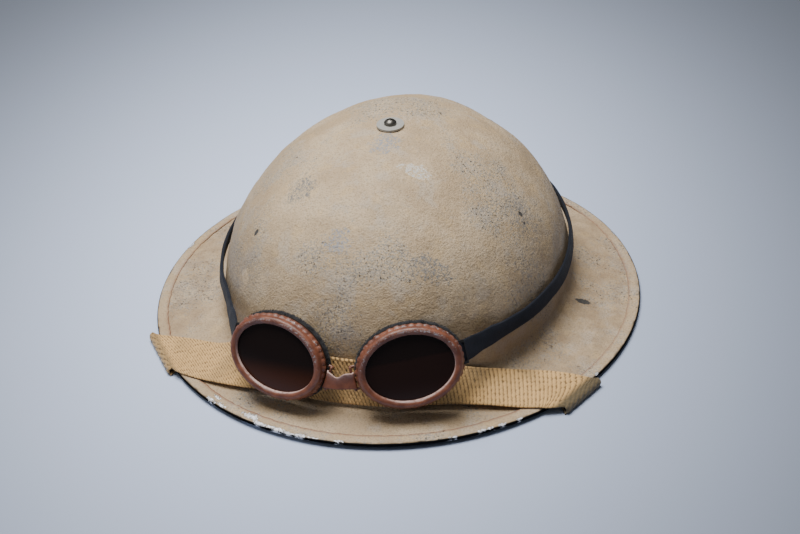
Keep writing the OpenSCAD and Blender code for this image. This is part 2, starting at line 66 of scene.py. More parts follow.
def make_camera():
    az, el, roll = [math.radians(v) for v in (CAM_AZ, CAM_EL, CAM_ROLL)]
    back = Vector((math.sin(az) * math.cos(el), -math.cos(az) * math.cos(el), math.sin(el)))
    right = Vector((math.cos(az), math.sin(az), 0))
    up = back.cross(right)
    side = right * math.cos(roll) + up * math.sin(roll)
    top = up * math.cos(roll) - right * math.sin(roll)
    eye = (Vector(CAM_AIM) + back * CAM_DIST) * MM
    data = bpy.data.cameras.new("camera")
    data.lens = CAM_LENS
    data.sensor_width = 36
    data.clip_start = 0.01
    cam = bpy.data.objects.new("camera", data)
    SCENE.collection.objects.link(cam)
    rows = [(side[i], top[i], back[i], eye[i]) for i in range(3)]
    cam.matrix_world = Matrix(rows + [(0, 0, 0, 1)])
    SCENE.camera = cam


make_camera()

# ---- Mesh helpers ----


def mesh_object(name, points, faces, material, values=None):
    """Object from points in millimetres; values are extra per-vertex numbers by name."""
    me = bpy.data.meshes.new(name)
    pts = np.asarray(points, float) * MM
    me.from_pydata(pts.tolist(), [], faces if isinstance(faces, list) else faces.tolist())
    for key, data in (values or {}).items():
        att = me.attributes.new(key, "FLOAT", "POINT")
        att.data.foreach_set("value", np.asarray(data, np.float32).ravel())
    me.polygons.foreach_set("use_smooth", [True] * len(me.polygons))
    me.materials.append(material)
    me.update()
    obj = bpy.data.objects.new(name, me)
    SCENE.collection.objects.link(obj)
    return obj


def grid_faces(rows, cols, close_rows=False, close_cols=False, flip=False):
    r = np.arange(rows if close_rows else rows - 1)
    c = np.arange(cols if close_cols else cols - 1)
    r, c = [v.ravel() for v in np.meshgrid(r, c, indexing="ij")]
    r2, c2 = (r + 1) % rows, (c + 1) % cols
    f = np.stack([r * cols + c, r * cols + c2, r2 * cols + c2, r2 * cols + c], 1)
    return f[:, ::-1] if flip else f


def grid_normals(p, close_rows=False, close_cols=False):
    def step(axis, close):
        if close:
            return np.roll(p, -1, axis) - np.roll(p, 1, axis)
        return np.gradient(p, axis=axis)
    n = np.cross(step(1, close_cols), step(0, close_rows))
    return n / np.maximum(np.linalg.norm(n, axis=-1, keepdims=True), 1e-9)


def waves(p, size, seed, count=24):
    """Smooth random field, about -1 to 1, with bumps of about this size in millimetres."""
    rng = np.random.default_rng(seed)
    way = rng.normal(size=(count, 3))
    way /= np.linalg.norm(way, axis=1, keepdims=True)
    k = way * (2 * np.pi / size * rng.uniform(0.6, 1.5, (count, 1)))
    ph = rng.uniform(0, 2 * np.pi, count)
    out = np.zeros(p.shape[:-1])
    for i in range(count):
        out += np.cos(p @ k[i] + ph[i])
    return out * math.sqrt(2 / count)


def ease(x, low, high):
    t = np.clip((x - low) / (high - low), 0, 1)
    return t * t * (3 - 2 * t)


def catmull(points, n):
    """Smooth curve through stations, n steps for each; points may have any trailing shape."""
    p = np.asarray(points, float)
    p = np.concatenate([2 * p[:1] - p[1:2], p, 2 * p[-1:] - p[-2:-1]])
    out = []
    for i in range(1, len(p) - 2):
        for t in np.linspace(0, 1, n, endpoint=False):
            a, b, c, d = p[i - 1], p[i], p[i + 1], p[i + 2]
            out.append(0.5 * (2 * b + (c - a) * t + (2 * a - 5 * b + 4 * c - d) * t * t
                              + (3 * b - a - 3 * c + d) * t ** 3))
    out.append(p[-2])
    return np.array(out)


def even(points, spacing):
    """The same path with steps of about this length."""
    p = np.asarray(points, float)
    mid = p.reshape(len(p), -1, p.shape[-1]).mean(1)
    run = np.concatenate([[0], np.cumsum(np.linalg.norm(np.diff(mid, axis=0), axis=1))])
    n = max(int(round(run[-1] / spacing)), 2)
    at = np.linspace(0, run[-1], n + 1)
    flat = p.reshape(len(p), -1)
    out = np.stack([np.interp(at, run, flat[:, j]) for j in range(flat.shape[1])], 1)
    return out.reshape((n + 1,) + p.shape[1:]), at


# ---- Materials ----


class Look:
    """Builds one node material step by step."""

    def __init__(self, name):
        self.mat = bpy.data.materials.new(name)
        self.mat.use_nodes = True
        self.tree = self.mat.node_tree
        self.bsdf = self.tree.nodes["Principled BSDF"]
        self.where = None

    def node(self, kind, **props):
        n = self.tree.nodes.new(kind)
        for key, v in props.items():
            setattr(n, key, v)
        return n

    def link(self, a, b):
        self.tree.links.new(a, b)

    def feed(self, socket, v):
        if isinstance(v, bpy.types.NodeSocket):
            self.link(v, socket)
        elif v is not None:
            socket.default_value = v

    def position(self):
        if self.where is None:
            self.where = self.node("ShaderNodeTexCoord").outputs["Object"]
        return self.where

    def noise(self, size, detail=3.0, rough=0.55):
        """Noise from 0 to 1; size is in millimetres."""
        n = self.node("ShaderNodeTexNoise")
        self.link(self.position(), n.inputs["Vector"])
        n.inputs["Scale"].default_value = 1000.0 / size
        n.inputs["Detail"].default_value = detail
        n.inputs["Roughness"].default_value = rough
        return n.outputs["Fac"]

    def cells(self, size):
        """Distance to the nearest of scattered points; size is in millimetres."""
        n = self.node("ShaderNodeTexVoronoi", feature="F1")
        self.link(self.position(), n.inputs["Vector"])
        n.inputs["Scale"].default_value = 1000.0 / size
        return n.outputs["Distance"]

    def math3(self, op, a, b=None):
        n = self.node("ShaderNodeVectorMath", operation=op)
        self.feed(n.inputs[0], a)
        if b is not None:
            self.feed(n.inputs[1], b)
        return n.outputs["Value"] if op in ("LENGTH", "DOT_PRODUCT") else n.outputs["Vector"]

    def calc(self, op, a, b=None, c=None):
        n = self.node("ShaderNodeMath", operation=op)
        for i, v in enumerate((a, b, c)):
            if v is not None:
                self.feed(n.inputs[i], v)
        return n.outputs[0]

    def ramp(self, v, low, high, out_low=0.0, out_high=1.0):
        n = self.node("ShaderNodeMapRange", interpolation_type="SMOOTHSTEP")
        self.feed(n.inputs["Value"], v)
        for key, x in (("From Min", low), ("From Max", high),
                       ("To Min", out_low), ("To Max", out_high)):
            n.inputs[key].default_value = x
        return n.outputs["Result"]

    def value(self, name):
        return self.node("ShaderNodeAttribute", attribute_name=name).outputs["Fac"]

    def mix(self, fac, a, b):
        n = self.node("ShaderNodeMix", data_type="RGBA")
        self.feed(n.inputs[0], fac)
        for s, v in ((n.inputs[6], a), (n.inputs[7], b)):
            self.feed(s, (*v, 1) if isinstance(v, tuple) else v)
        return n.outputs[2]

    def spot(self, centre, radius, ragged=0.35, grain=1.5, flat=(1, 1, 1)):
        """Ragged spot round a point, in millimetres: 1 inside, 0 outside."""
        off = self.math3("SUBTRACT", self.position(), tuple(v * MM for v in centre))
        off = self.math3("MULTIPLY", off, tuple(f * 1000 / radius for f in flat))
        d = self.math3("LENGTH", off)
        d = self.calc("ADD", d, self.calc("MULTIPLY", self.calc("SUBTRACT", self.noise(grain), 0.5),
                                          ragged * 4))
        return self.ramp(d, 1.1, 0.9)

    def set(self, color=None, rough=None, metal=None, bump=None, bump_mm=0.3, **more):
        color = (*color, 1) if isinstance(color, tuple) else color
        self.feed(self.bsdf.inputs["Base Color"], color)
        self.feed(self.bsdf.inputs["Roughness"], rough)
        self.feed(self.bsdf.inputs["Metallic"], metal)
        if bump is not None:
            n = self.node("ShaderNodeBump")
            n.inputs["Distance"].default_value = bump_mm * MM
            self.feed(n.inputs["Height"], bump)
            self.link(n.outputs["Normal"], self.bsdf.inputs["Normal"])
        for key, v in more.items():
            self.bsdf.inputs[key.replace("_", " ")].default_value = v
        return self.mat


SAND = (0.55, 0.405, 0.25)
SAND_DARK = (0.36, 0.26, 0.155)
SAND_PALE = (0.66, 0.53, 0.37)
GREY_WORN = (0.30, 0.285, 0.265)
DARK_CHIP_AND_PIT_SHADE = (0.06, 0.055, 0.05)
STEEL = (0.74, 0.74, 0.76)
RUST = (0.16, 0.045, 0.022)


def paint_look(name, marks=True):
    k = Look(name)
    fine = k.noise(1.0, 4, 0.62)
    lumps = k.noise(2.6, 2, 0.5)
    broad = k.noise(26, 4, 0.6)
    pale = k.mix(k.ramp(broad, 0.35, 0.7), SAND_DARK, SAND_PALE)
    base = k.mix(0.55, pale, SAND)
    base = k.mix(k.ramp(k.noise(15, 3), 0.52, 0.66, 0, 0.5), base, (0.50, 0.43, 0.36))
    base = k.mix(k.ramp(k.noise(11, 3), 0.55, 0.68, 0, 0.4), base, (0.62, 0.44, 0.22))
    # Darker in the low spots of the fine pebbling: painted shade in the pits
    base = k.mix(k.ramp(fine, 0.52, 0.34, 0.0, 0.7), base, (0.30, 0.21, 0.12))
    # Grey specks on the worn grains of the paint, thicker in patches; the same patches thicken the
    # near-black specks below
    patch = k.ramp(k.calc("ADD", broad, k.calc("MULTIPLY", k.value("worn"), 0.25)), 0.55, 0.8)
    speck = k.calc("ADD", k.noise(1.1, 4, 0.75), k.calc("MULTIPLY", patch, 0.12))
    base = k.mix(k.ramp(speck, 0.60, 0.67, 0, 0.8), base, GREY_WORN)
    # Patchy brown darkening low on the flare and over the brim, stronger towards the sides
    base = k.mix(k.calc("MULTIPLY", k.value("brim_darkening"), k.ramp(k.noise(9, 4), 0.35, 0.7, 0.25, 0.8)),
                 base, (0.20, 0.125, 0.07))
    rust = k.calc("MULTIPLY", k.value("rust"), k.ramp(k.noise(3.5, 4, 0.7), 0.26, 0.46, 0.25, 0.9))
    base = k.mix(rust, base, RUST)
    # Near-black specks sunk into the bump: painted shade in the pits of the pebbled paint; the dark
    # marks added below are real chips and scratches
    deep = k.ramp(k.calc("ADD", k.noise(1.5, 5, 0.8), k.calc("MULTIPLY", patch, 0.09)), 0.67, 0.71)
    if marks:
        crumbs = k.ramp(k.noise(1.3, 4, 0.8), 0.46, 0.56)
        for centre, radius, flat in DARK_MARKS:
            deep = k.calc("MAXIMUM", deep, k.spot(centre, radius, 0.25, 1.2, flat))
        for centre, radius, flat, tone in GREY_MARKS:
            m = k.calc("MULTIPLY", k.spot(centre, radius * 1.15, 0.5, 3.5, flat), crumbs)
            base = k.mix(m, base, tone)
    # Darker down the dome's wall and towards its sides: painted shade
    base = k.mix(k.value("painted_shade"), base, (0.16, 0.115, 0.075))
    base = k.mix(deep, base, DARK_CHIP_AND_PIT_SHADE)
    # Near-black on the band's turned edge and underside: dark worn paint on the edge, with painted
    # shade below the rim
    base = k.mix(k.value("edge"), base, (0.006, 0.006, 0.007))
    chip = k.calc("ADD", k.calc("MULTIPLY", k.noise(2.2, 5, 0.85), 2.6),
                  k.calc("MULTIPLY", k.value("chip"), 0.95))
    chip = k.ramp(chip, 1.98, 2.03)
    base = k.mix(chip, base, STEEL)
    height = k.calc("ADD", fine, k.calc("MULTIPLY", lumps, 0.7))
    height = k.calc("SUBTRACT", height, k.calc("MULTIPLY", deep, 0.5))
    height = k.calc("SUBTRACT", height, k.calc("MULTIPLY", chip, 0.8))
    rough = k.calc("ADD", k.ramp(chip, 0, 1, 0.62, 0.32), k.calc("MULTIPLY", k.value("edge"), 0.25))
    k.feed(k.bsdf.inputs["Specular IOR Level"],
           k.calc("MULTIPLY_ADD", k.value("edge"), -0.45, 0.45))
    return k.set(base, rough, k.calc("MULTIPLY", chip, 0.6), height, 0.62)


# Marks on the shell in millimetres: centre, radius and how much each axis is squeezed
DARK_MARKS = [
    ((113.3, 0.9, 7.2), 2.4, (0.5, 1, 1)),
    ((-65.4, -58.5, 73.5), 1.5, (1, 1, 0.22)),
    ((79.7, -17.1, 75.2), 1.3, (1, 1, 0.3)),
    ((82, -20, 68), 1.2, (1, 0.6, 0.25)),
]
GREY_MARKS = [
    ((1.5, -15, 113.9), 7, (1, 0.8, 1), (0.27, 0.28, 0.31)),
    ((-41, -44.7, 97.1), 7, (1, 1, 0.55), (0.20, 0.19, 0.18)),
    ((42, -81.6, 75.2), 6, (0.5, 1, 0.8), (0.22, 0.21, 0.20)),
    ((80, -18, 72), 9, (1, 1, 0.5), (0.24, 0.22, 0.20)),
    ((23.7, -32.5, 107.2), 5, (0.6, 1.2, 1), (0.62, 0.60, 0.56)),
    ((-10, -80, 84), 6, (0.9, 1, 0.6), (0.30, 0.30, 0.32)),
]

PAINT = paint_look("sand_paint")

# ---- Shell ----

DOME_A, DOME_B, DOME_Y = 102.5, 120.0, 3.5
WALL_Z, CROWN_Z = 17.5, 115.0
FULL_X, FULL_Y, FULL_Z = 2 / 1.65, 1.0, 2 / 2.2
FLARE_R, FLARE_END = 10.0, math.radians(78)
RIM_A, RIM_B, RIM_RISE, RIM_INSET = 146.0, 151.0, 0.0076, 0.7
SHELL_T, BRIM_TOP = 1.1, 1.75
FLARE_SLOPE, EDGE_SLOPE = -6.4, -2.1
TURN = np.linspace(0, 2 * np.pi, 720, endpoint=False)


def dome_ring(u, a=TURN, off=0.0):
    x = (DOME_A * max(math.cos(u), 0) ** FULL_X + off) * np.cos(a)
    y = DOME_Y + (DOME_B * max(math.cos(u), 0) ** FULL_Y + off) * np.sin(a)
    z = WALL_Z + (CROWN_Z - WALL_Z) * math.sin(u) ** FULL_Z
    return np.stack([x, y, np.full_like(a, z)], -1)


def flare_ring(t, a=TURN):
    e = FLARE_R * (1 - math.cos(t))
    return np.stack([(DOME_A + e) * np.cos(a), DOME_Y + (DOME_B + e) * np.sin(a),
                     np.full_like(a, WALL_Z - FLARE_R * math.sin(t))], -1)


def rim_height(y):
    return RIM_RISE * (RIM_B - y)


def brim_ring(q, a=TURN):
    p = flare_ring(FLARE_END, a)
    rim = np.stack([(RIM_A - RIM_INSET) * np.cos(a), (RIM_B - RIM_INSET) * np.sin(a)], -1)
    z1, z2 = p[:, 2], BRIM_TOP + rim_height(rim[:, 1])
    z = (z1 + FLARE_SLOPE * (q - 2 * q * q + q ** 3) + (z2 - z1) * (3 * q * q - 2 * q ** 3)
         + EDGE_SLOPE * (q ** 3 - q * q))
    return np.concatenate([p[:, :2] * (1 - q) + rim * q, z[:, None]], 1)


def shell_rings():
    hole = np.stack([4.5 * np.cos(TURN), DOME_Y + 4.5 * np.sin(TURN),
                     np.full_like(TURN, CROWN_Z)], -1)
    rings = [hole]
    rings += [dome_ring(math.radians(u)) for u in np.linspace(86, 0, 130)]
    rings += [flare_ring(t) for t in np.linspace(0, FLARE_END, 16)[1:]]
    rings += [brim_ring(q) for q in np.linspace(0, 1, 34)[1:]]
    return np.array(rings)


def build_shell():
    """Dome, flare and brim as one pressing, with shallow dents and a pebbled skin."""
    outer = shell_rings()
    n = grid_normals(outer, close_cols=True)
    if n[40, 0] @ (outer[40, 0] - [0, 0, 30]) < 0:
        n = -n
    mid = outer.copy()
    dents = 0.35 * waves(mid, 60, 3) + 0.14 * waves(mid, 22, 5)
    grain = 0.025 * waves(mid, 5.5, 7) + 0.035 * waves(mid, 3.2, 8)
    hold = np.ones(len(outer))
    hold[:8] = np.linspace(0, 1, 8)
    hold[-14:] = np.linspace(1, 0, 14)
    move = (dents + grain) * hold[:, None]
    top = outer + n * move[..., None]
    low = outer - n * SHELL_T
    pts = np.concatenate([top, low[::-1]])
    rows = len(pts)
    faces = grid_faces(rows, len(TURN), close_rows=True, close_cols=True)
    z, r = top[..., 2], np.hypot(top[..., 0] / RIM_A, top[..., 1] / RIM_B)
    worn = 0.5 + 0.5 * waves(mid, 70, 11, 12)
    worn = np.clip(worn, 0, 1)
    brim_darkening = ease(z, 26, 9) * (0.22 + 0.38 * ease(np.abs(top[..., 0]), 60, 120))
    side = ease(np.abs(top[..., 0]), 35, 98)
    # Painted shade: darker down the dome's wall and more towards its sides, fading out over the
    # flare, none on the brim
    painted_shade = ease(z, 92, 28) * (0.30 + 0.30 * side) * ease(z, 9, 18)
    flat = np.zeros_like(low[..., 0])
    values = {key: np.concatenate([v, flat]).ravel() for key, v in
              (("worn", worn), ("brim_darkening", brim_darkening), ("painted_shade", painted_shade), ("chip", 0 * r))}
    return mesh_object("helmet_shell", pts.reshape(-1, 3), faces, PAINT, values)


shell = build_shell()
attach(shell, "helmet")
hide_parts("shell")

# Chips of bare steel on the rim: angle in degrees, distance from the edge, half length and half
# width in millimetres
RIM_CHIPS = [(-121.5, 4.7, 3.5, 1.3), (-118.8, 1.6, 3.5, 1.2), (-110.8, 3.6, 6.0, 2.2),
             (-107.8, 1.2, 4.5, 1.4), (-103.3, 1.2, 5.0, 1.5), (-97.3, 0.8, 4.0, 1.0),
             (-100, 0.6, 3.0, 0.8), (-88.6, 0.8, 3.0, 0.8), (-57.4, 0.8, 3.0, 0.8),
             (-55.3, 0.9, 2.5, 0.8), (-52.6, 0.9, 3.2, 0.9), (-48.5, 0.7, 2.2, 0.7),
             (-25.3, 0.8, 2.0, 0.8), (-64, 0.6, 3.0, 0.7), (35, 0.8, 4.0, 1.0),
             (120, 0.9, 5.0, 1.1), (170, 1.2, 4.0, 1.2), (238, 1.0, 5.0, 1.1),
             (-105.4, 1.2, 4.0, 1.0), (-101.4, 0.9, 4.0, 0.8), (-94.5, 0.8, 4.0, 0.6)]
BAND_W = 7.0


def build_rim_band():
    """Strip folded over the brim's edge; its upper leg's inner edge is the fine ragged line."""
    a = np.linspace(0, 2 * np.pi, 1440, endpoint=False)
    ring = np.stack([RIM_A * np.cos(a), RIM_B * np.sin(a)], 1)
    tan = np.roll(ring, -1, 0) - np.roll(ring, 1, 0)
    out = np.stack([tan[:, 1], -tan[:, 0]], 1)
    out /= np.linalg.norm(out, axis=1, keepdims=True)
    length = np.linalg.norm(brim_ring(1, a)[:, :2] - brim_ring(0, a)[:, :2], axis=1)
    ragged = 0.13 * waves(np.concatenate([ring, ring[:, :1] * 0], 1), 7, 21)
    section = []
    # Upper leg from its inner edge to the fold, then round the edge to the lower leg
    for d, up in ((BAND_W, -0.02), (BAND_W - 0.05, 0.4), (BAND_W - 0.35, 0.62), (6.2, 0.64),
                  (5, 0.64), (3.8, 0.64), (2.6, 0.64), (1.6, 0.62)):
        dd = d + ragged * (d > 6)
        p = ring - out * dd[:, None]
        q = 1 - dd / length
        z = np.array([brim_z_at(q[i], a[i]) for i in range(len(a))]) + up
        section.append(np.concatenate([p, z[:, None]], 1))
    h = rim_height(ring[:, 1])
    for d, z in ((0.8, 2.28), (0.25, 2.02), (0.0, 1.55), (0.0, 0.9), (0.18, 0.32), (0.6, 0.05),
                 (1.5, 0.0), (3.2, 0.0), (5.0, 0.0), (5.0, 0.3), (4.6, 0.6)):
        p = ring - out * d
        section.append(np.concatenate([p, (h + z)[:, None]], 1))
    pts = np.array(section)
    sway = 0.05 * waves(pts, 16, 23) + 0.03 * waves(pts, 4, 24)
    pts[1:-3, :, 2] += sway[1:-3] * 0.8
    pts[..., 2] = np.maximum(pts[..., 2], h)
    faces = grid_faces(len(pts), len(a), close_rows=True, close_cols=True)
    inner = np.array([BAND_W, BAND_W, BAND_W, 6.2, 5, 3.8, 2.6, 1.6, 0.8, 0.25] + [0.0] * 9)
    rust = np.exp(-((inner - BAND_W) / 1.0) ** 2)[:, None] * np.ones(len(a))
    front = ease(-np.sin(a), 0.2, 0.7)
    rust = rust * (0.6 + 0.4 * front)
    chip = np.zeros_like(rust)
    edge = np.array([7, 7, 6.7, 6.2, 5, 3.8, 2.6, 1.6, 0.8, 0.25, 0, 0, 0.2, 1, 3, 4, 5, 5, 5.0])
    for ang, d, half, wide in RIM_CHIPS:
        run = np.abs((np.degrees(a) - ang + 180) % 360 - 180) * math.radians(1) * 148
        near = np.sqrt((run[None, :] / half) ** 2 + ((edge[:, None] - d) / wide) ** 2)
        chip = np.maximum(chip, 0.95 * ease(near, 1.9, 0.4))
    low = np.zeros_like(chip)
    # Mask for that near-black edge: the turned edge and the whole underside, partly painted shade
    # below the rim
    worn_line = 0.08 * waves(pts, 9, 27)
    turned = ease(edge[:, None] + worn_line, 0.9, 0.5)
    turned[9:] = 1
    values = {"worn": 0.6 + low, "brim_darkening": 0.2 + low, "rust": rust, "chip": chip, "edge": turned}
    return mesh_object("rim_band_folded", pts.reshape(-1, 3), faces, BAND_PAINT,
                       {k: v.ravel() for k, v in values.items()})


def brim_z_at(q, a):
    y = (RIM_B - RIM_INSET) * math.sin(a)
    z1 = WALL_Z - FLARE_R * math.sin(FLARE_END)
    z2 = BRIM_TOP + RIM_RISE * (RIM_B - y)
    return (z1 + FLARE_SLOPE * (q - 2 * q * q + q ** 3) + (z2 - z1) * (3 * q * q - 2 * q ** 3)
            + EDGE_SLOPE * (q ** 3 - q * q))


BAND_PAINT = paint_look("rim_paint", marks=False)
band = build_rim_band()
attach(band, "helmet")
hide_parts("rim_band")

# ---- Simple finishes for the CAD pieces that stay ----


def plain(name, color, rough, metal=0.0, grain=None, bump=0.0, vary=0.25, **more):
    k = Look(name)
    n = k.noise(grain or 2.0, 3, 0.6)
    dark = tuple(c * (1 - vary) for c in color)
    base = k.mix(n, dark, color)
    return k.set(base, rough, metal, n if bump else None, bump or 0.1, **more)


LOOKS = {
    "weathered_steel": plain("weathered_steel", (0.30, 0.28, 0.25), 0.5, 0.7, 1.2, 0.15, 0.5),
    "bright_steel": plain("bright_steel", (0.60, 0.59, 0.57), 0.32, 1.0, 3, 0.03, 0.15),
    "liner_web": plain("liner_web", (0.13, 0.11, 0.075), 0.9, 0, 1.0, 0.2, 0.4),
    "band_fibre": plain("band_fibre", (0.035, 0.03, 0.027), 0.6, 0, 2.0, 0.1, 0.3),
    "sweat_leather": plain("sweat_leather", (0.075, 0.04, 0.02), 0.55, 0, 2.5, 0.2, 0.4),
    "crown_pad_rubber": plain("crown_pad_rubber", (0.05, 0.045, 0.04), 0.8, 0, 2.0, 0.1, 0.3),
    "buffer_rubber": plain("buffer_rubber", (0.03, 0.03, 0.03), 0.7, 0, 2.0, 0.1, 0.3),
    "lace_cotton": plain("lace_cotton", (0.45, 0.37, 0.25), 0.9, 0, 0.8, 0.2, 0.3),
    "lug_paint": plain("lug_paint", (0.16, 0.14, 0.08), 0.6, 0, 2.0, 0.1, 0.3),
    "webbing": plain("webbing", (0.40, 0.29, 0.14), 0.9, 0, 1.0, 0.2, 0.3),
    "goggle_paint": plain("goggle_paint", (0.20, 0.075, 0.045), 0.42, 0, 2.0, 0.1, 0.35),
    "tinted_lens": plain("tinted_lens", (0.02, 0.01, 0.006), 0.12, 0, 20, 0, 0.1),
    "cushion_plush": plain("cushion_plush", (0.012, 0.012, 0.014), 0.95, 0, 0.8, 0.5, 0.4),
    "cup_paint": plain("cup_paint", (0.016, 0.014, 0.014), 0.5, 0, 2.0, 0.1, 0.3),
    "elastic": plain("elastic", (0.016, 0.02, 0.03), 0.85, 0, 0.8, 0.2, 0.4),
}
SLOT_OF = {s["node"]: s["material_slot"] for s in frame["record"]["subparts"]}
OWN_LOOK = {
    "crown_screw": plain("screw_steel", (0.15, 0.14, 0.125), 0.33, 0.85, 1.5, 0.05, 0.4),
    "crown_washer": plain("washer_steel", (0.46, 0.45, 0.42), 0.5, 0.25, 1.2, 0.15, 0.35)}
for name, obj in NODES.items():
    look = OWN_LOOK.get(name) or LOOKS.get(SLOT_OF[name], PAINT)
    obj.data.materials.clear()
    obj.data.materials.append(look)

# ---- Liner: soft pieces made from the CAD solids' own shape ----


def rounded_copy(node, voxel, passes=3):
    """Points in millimetres, normals and faces of a CAD node, finely meshed with soft edges."""
    src = NODES[node]
    tmp = bpy.data.objects.new("fine_" + node, src.data.copy())
    tmp.matrix_world = src.matrix_world
    SCENE.collection.objects.link(tmp)
    fine = tmp.modifiers.new("fine", "REMESH")
    fine.mode, fine.voxel_size = "VOXEL", voxel * MM
    soft = tmp.modifiers.new("soft", "SMOOTH")
    soft.factor, soft.iterations = 0.5, passes
    bpy.context.view_layer.update()
    me = bpy.data.meshes.new_from_object(tmp.evaluated_get(bpy.context.evaluated_depsgraph_get()))
    co = np.empty(len(me.vertices) * 3)
    nor = np.empty_like(co)
    me.vertices.foreach_get("co", co)
    me.vertex_normals.foreach_get("vector", nor)
    to = np.array(tmp.matrix_world)
    faces = [list(f.vertices) for f in me.polygons]
    bpy.data.objects.remove(tmp)
    co = co.reshape(-1, 3) @ to[:3, :3].T + to[:3, 3]
    return co / MM, nor.reshape(-1, 3) @ to[:3, :3].T, faces


def leather_look(name, dark, light, thread):
    k = Look(name)
    grain = k.cells(1.3)
    tone = k.mix(k.ramp(k.noise(16, 4), 0.35, 0.65), dark, light)
    tone = k.mix(k.ramp(grain, 0.35, 0.1, 0, 0.35), tone, tuple(c * 0.5 for c in dark))
    tone = k.mix(k.ramp(k.noise(3, 5, 0.75), 0.58, 0.66, 0, 0.5), tone,
                 tuple(c * 1.7 for c in light))
    tone = k.mix(k.value("stitch"), tone, thread)
    return k.set(tone, k.ramp(k.noise(6, 3), 0.3, 0.7, 0.42, 0.6), 0, grain, 0.15)


def liner_web_look():
    k = Look("liner_web")
    tone = k.mix(k.noise(12, 3), (0.12, 0.105, 0.07), (0.19, 0.165, 0.115))
    # Darker in the grooves between the ribs: painted shade
    tone = k.mix(k.ramp(k.value("rib"), 0.5, 0.1, 0, 0.8), tone, (0.035, 0.03, 0.02))
    return k.set(tone, 0.9, 0, k.noise(0.6, 3, 0.7), 0.12, Sheen_Weight=0.15, Sheen_Roughness=0.5)


SWEAT_A, SWEAT_B, SWEAT_LOW, SWEAT_HIGH = 82.0, 100.0, 14.0, 42.0
STITCH = 3.6


def build_sweatband():
    p, n, faces = rounded_copy("sweatband", 0.7)
    turn = np.arctan2((p[:, 1] - DOME_Y) / SWEAT_B, p[:, 0] / SWEAT_A)
    run = turn * (SWEAT_A + SWEAT_B) / 2
    step = np.abs(np.cos(np.pi * run / STITCH)) ** 0.5
    seam = np.maximum(np.exp(-((p[:, 2] - SWEAT_HIGH + 3) / 0.7) ** 2),
                      np.exp(-((p[:, 2] - SWEAT_LOW - 2.5) / 0.7) ** 2))
    stitch = seam * ease(step, 0.45, 0.7)
    press = 0.16 * waves(p, 18, 71) + 0.07 * waves(p, 5, 72) - 0.25 * seam + 0.35 * stitch
    obj = mesh_object("sweatband_leather", p + n * press[:, None], faces,
                      leather_look("sweat_leather", (0.055, 0.026, 0.012), (0.11, 0.055, 0.028),
                                   (0.42, 0.34, 0.22)), {"stitch": stitch})
    return obj


def build_tongues():
    p, n, faces = rounded_copy("liner_tongues", 0.8)
    press = 0.22 * waves(p, 16, 73) + 0.08 * waves(p, 4.5, 74)
    return mesh_object("liner_tongues_leather", p + n * press[:, None], faces,
                       leather_look("tongue_leather", (0.07, 0.036, 0.018), (0.13, 0.07, 0.038),
                                    (0.42, 0.34, 0.22)), {"stitch": np.zeros(len(p))})


def build_liner_strap(way):
    """Woven strap over the crown; way is the axis it runs along, 0 for x and 1 for y."""
    node = ("liner_strap_cross", "liner_strap_long")[way]
    p, n, faces = rounded_copy(node, 0.6)
    across = p[:, 1 - way] - (0 if way else DOME_Y)
    along = np.arctan2(p[:, 2] - 40, p[:, way] - (DOME_Y if way else 0)) * 88
    ridge = np.abs(np.cos(np.pi * (along / 2.6 + across / 4.4)))
    press = 0.2 * (ridge - 0.6) + 0.12 * waves(p, 14, 75 + way)
    obj = mesh_object(node + "_webbing", p + n * press[:, None], faces, LINER_WEB, {"rib": ridge})
    return obj, node


def build_lace():
    p, n, faces = rounded_copy("drawlace", 0.4, 2)
    turn = np.arctan2(p[:, 1], p[:, 0])
    centre = np.hypot(p[:, 0], p[:, 1])
    lay = np.arctan2(p[:, 2] - p[:, 2].mean(), centre - np.median(centre))
    braid = np.cos(turn * 34 + lay * 2) * 0.14 + np.cos(turn * 34 - lay * 2) * 0.14
    return mesh_object("drawlace_braid", p + n * braid[:, None], faces, LOOKS["lace_cotton"])


def build_pad():
    p, n, faces = rounded_copy("crown_pad", 0.6)
    press = 0.3 * waves(p, 12, 77) + 0.14 * waves(p, 3.5, 78)
    obj = mesh_object("crown_pad_rubber", p + n * press[:, None], faces, LOOKS["crown_pad_rubber"])
    return obj


LINER_WEB = liner_web_look()
LINER = [(build_sweatband(), "sweatband"), (build_tongues(), "liner_tongues"),
         (build_lace(), "drawlace"), (build_pad(), "crown_pad")]
LINER += [build_liner_strap(way) for way in (0, 1)]
for obj, node in LINER:
    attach(obj, "helmet")
    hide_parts(node)

# ---- Chinstrap ----

STRAP_W, STRAP_T = 28.0, 1.4
LUG = (82.0, -12.0, 5.0)
LUG_TURN = math.radians(25.5)
LOOP_REACH, EYE_R = 14.0, 3.2
STRAP_FRONT = [
    [[-127.2, -73.3, 5.1], [-103.7, -106.9, 5.3]], [[-109, -75.5, 6.8], [-89.5, -111.5, 6.3]],
    [[-87, -82.5, 10.5], [-71.4, -115.8, 7.5]], [[-70, -90.5, 20], [-55.4, -118.4, 8.8]],
    [[-48, -103.5, 30], [-36, -118.5, 9.4]], [[-24, -113.2, 34.5], [-18, -122.6, 9.6]],
    [[0, -117, 35.5], [0, -124, 9.8]], [[24, -114.6, 34.5], [20, -123, 9.9]],
    [[46, -104.4, 30], [40, -118, 9.4]], [[66, -90.8, 19.5], [60, -112.6, 9.1]],
    [[84, -78, 11.2], [76, -109, 7.6]], [[100, -72, 7.8], [92, -105.8, 6]],
    [[117, -70.3, 6.4], [106, -102.5, 5.6]], [[129, -70.2, 5.1], [109.5, -101.8, 5.2]]]
FOLDS = {-1: [[-134.1, -72.4], [-110.6, -104.6]], 1: [[134.6, -70.2], [120.3, -99.7]]}
